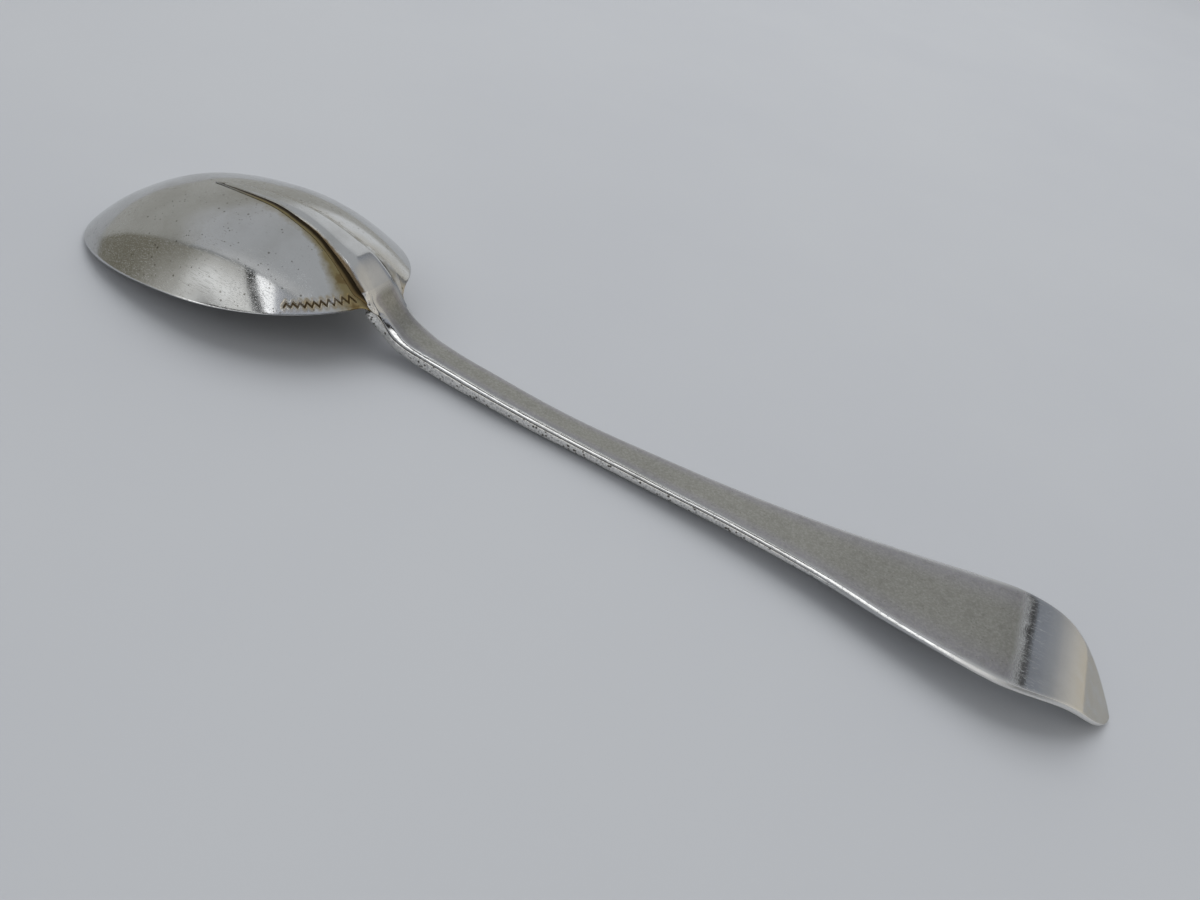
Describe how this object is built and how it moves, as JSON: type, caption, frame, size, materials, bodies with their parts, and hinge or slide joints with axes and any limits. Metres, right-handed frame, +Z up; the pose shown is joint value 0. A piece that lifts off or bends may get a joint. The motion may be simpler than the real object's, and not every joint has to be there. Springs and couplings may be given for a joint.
{
  "type": "rat_tail_spoon",
  "caption": "Hand-forged silver rat-tail table spoon lying face down, for eating soup or serving, with a deep oval bowl and a flared, turned-down handle end.",
  "frame": {"origin": "On the table, under the middle of the spoon's bounding box", "axes": "+X runs from the tip of the bowl to the end of the handle, +Y across the spoon, +Z up; the spoon lies face down with the back of the bowl up and the table at z = 0"},
  "size_m": [0.205, 0.0438, 0.0197],
  "materials": {
    "silver_bowl": "polished",
    "silver_tail": "gloss",
    "silver_stem": "satin",
    "solder": "satin"
  },
  "bodies": {
    "root": {"bowl": "silver_bowl", "rat_tail": "silver_tail", "stem": "silver_stem", "solder": "solder"}
  },
  "joints": []
}
